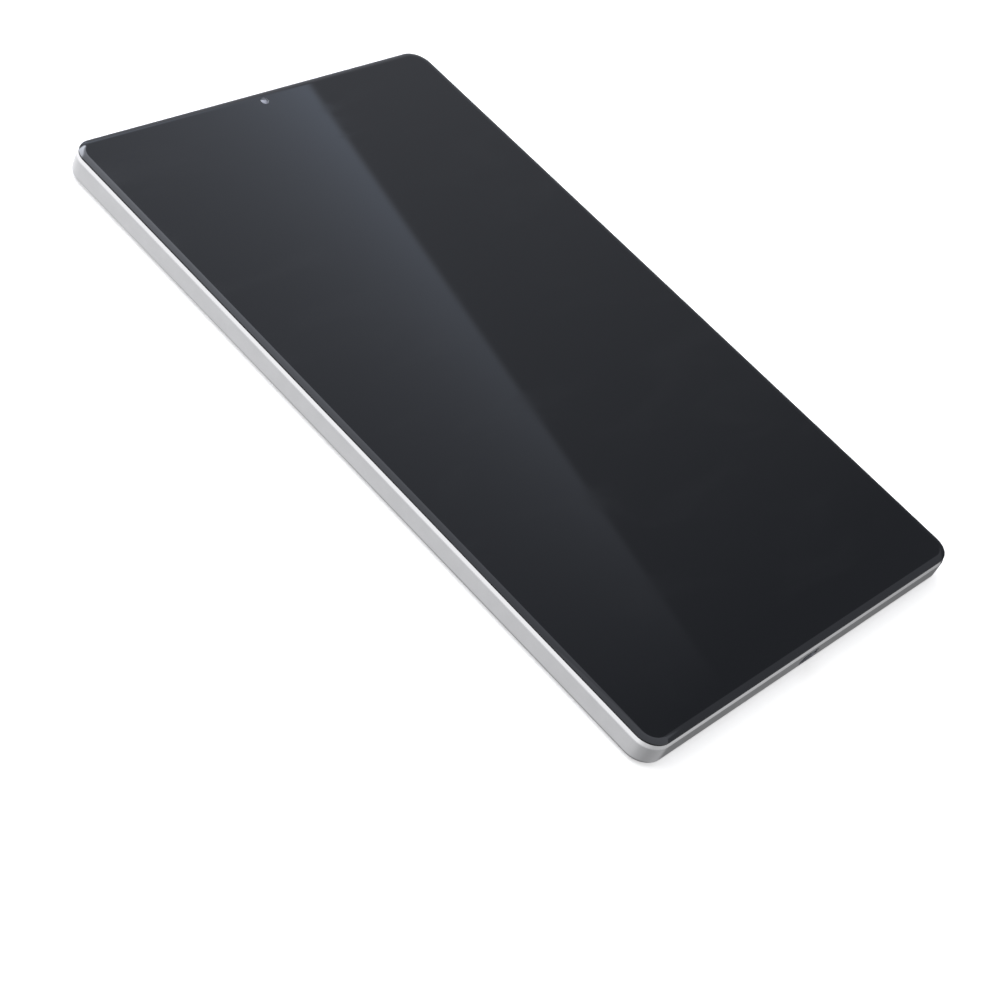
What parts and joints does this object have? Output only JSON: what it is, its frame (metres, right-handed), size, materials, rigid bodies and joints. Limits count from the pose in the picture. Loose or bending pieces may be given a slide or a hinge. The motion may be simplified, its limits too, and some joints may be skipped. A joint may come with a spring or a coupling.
{
  "type": "tablet computer",
  "caption": "Slim slate tablet: glass front on a metal side frame, plastic back with a pill-shaped camera bump, side keys, a sliding card tray and a USB-C port.",
  "frame": {"origin": "middle of the rear panel's flat outer face, halfway between the long edges and halfway between the short edges", "axes": "+Z out of the screen, +Y towards the short edge with the front camera, +X towards the long edge with the keys and the card tray"},
  "size_m": [0.1494, 0.248, 0.0093],
  "materials": {
    "satin_frame": "fine bead-blasted silver, with a polished facet",
    "screen_glass": "polished black-backed cover glass",
    "black_rubber": "matt black silicone",
    "clear_adhesive": "clear cured adhesive",
    "display_cell": "dark liquid crystal cell",
    "backlight_sheet": "white light guide and reflector",
    "black_foam": "closed-cell black foam tape",
    "flex_circuit": "amber polyimide circuit",
    "magnesium_plate": "die-cast and plated grey",
    "screw_steel": "plated machine screws",
    "white_panel": "glossy white",
    "graphite": "dark grey graphite film",
    "antenna_copper": "plated copper film",
    "polished_trim": "polished silver",
    "camera_glass": "blue-black printed camera glass",
    "lens_ring": "turned and anodised silver",
    "lens_glass": "coated lens, green and violet sheen",
    "flash_diffuser": "ribbed clear diffuser, milky white",
    "black_plastic": "fine-spark moulded black",
    "led_phosphor": "yellow phosphor on a white carrier",
    "battery_pouch": "dark laminated pouch",
    "adhesive_tape": "pull-release tape",
    "circuit_board": "dark green solder mask",
    "shield_steel": "tinned sheet steel",
    "chip_package": "moulded epoxy",
    "key_metal": "satin silver with polished edges",
    "switch_steel": "domed switch with a steel cover",
    "connector_steel": "nickel plated",
    "contact_gold": "gold plated",
    "black_mesh": "woven acoustic mesh"
  },
  "bodies": {
    "chassis": {"side_frame": "satin_frame", "cover_glass": "screen_glass", "glass_gasket": "black_rubber", "optical_adhesive": "clear_adhesive", "lcd_cell": "display_cell", "backlight_unit": "backlight_sheet", "display_foam": "black_foam", "display_flex": "flex_circuit", "mid_plate": "magnesium_plate", "plate_screws": "screw_steel", "rear_panel": "white_panel", "rear_gasket": "black_foam", "graphite_sheet": "graphite", "upper_antenna": "antenna_copper", "lower_antenna": "antenna_copper", "camera_trim": "polished_trim", "camera_window": "camera_glass", "camera_ring": "lens_ring", "flash_ring": "lens_ring", "camera_lens_cover": "lens_glass", "flash_lens": "flash_diffuser", "rear_camera_module": "black_plastic", "flash_led": "led_phosphor", "front_camera": "black_plastic", "battery_cell_upper": "battery_pouch", "battery_cell_lower": "battery_pouch", "battery_tape": "adhesive_tape", "battery_board": "circuit_board", "battery_lead": "flex_circuit", "main_board": "circuit_board", "sub_board": "circuit_board", "board_screws": "screw_steel", "upper_shield_can": "shield_steel", "strip_shield_can": "shield_steel", "processor_chip": "chip_package", "memory_chip": "chip_package", "power_chip": "chip_package", "board_link_flex": "flex_circuit", "microphone": "shield_steel", "microphone_boot": "black_rubber", "volume_up_switch": "switch_steel", "volume_down_switch": "switch_steel", "power_switch": "switch_steel", "side_key_flex": "flex_circuit", "key_bracket": "shield_steel", "card_reader": "shield_steel", "reader_base": "black_plastic", "usb_shell": "connector_steel", "usb_tongue": "black_plastic", "usb_contacts": "contact_gold", "speaker_left": "black_plastic", "speaker_right": "black_plastic", "speaker_mesh_left": "black_mesh", "speaker_mesh_right": "black_mesh"},
    "volume": {"volume_rocker": "key_metal"},
    "power": {"power_button": "key_metal"},
    "tray": {"card_tray": "key_metal", "tray_seal": "black_rubber"}
  },
  "joints": [
    {"name": "power_press", "type": "slide", "parent": "chassis", "child": "power", "axis": [-1, 0, 0], "range_m": [0, 0.00025], "stiffness_N_per_m": 5000},
    {"name": "volume_rock", "type": "hinge", "parent": "chassis", "child": "volume", "pos_m": [0.0713, 0.073, 0.0037], "axis": [0, 0, 1], "range_deg": [-1.2, 1.2], "stiffness_Nm_per_rad": 0.39},
    {"name": "tray_slide", "type": "slide", "parent": "chassis", "child": "tray", "axis": [1, 0, 0], "range_m": [0, 0.028]}
  ]
}
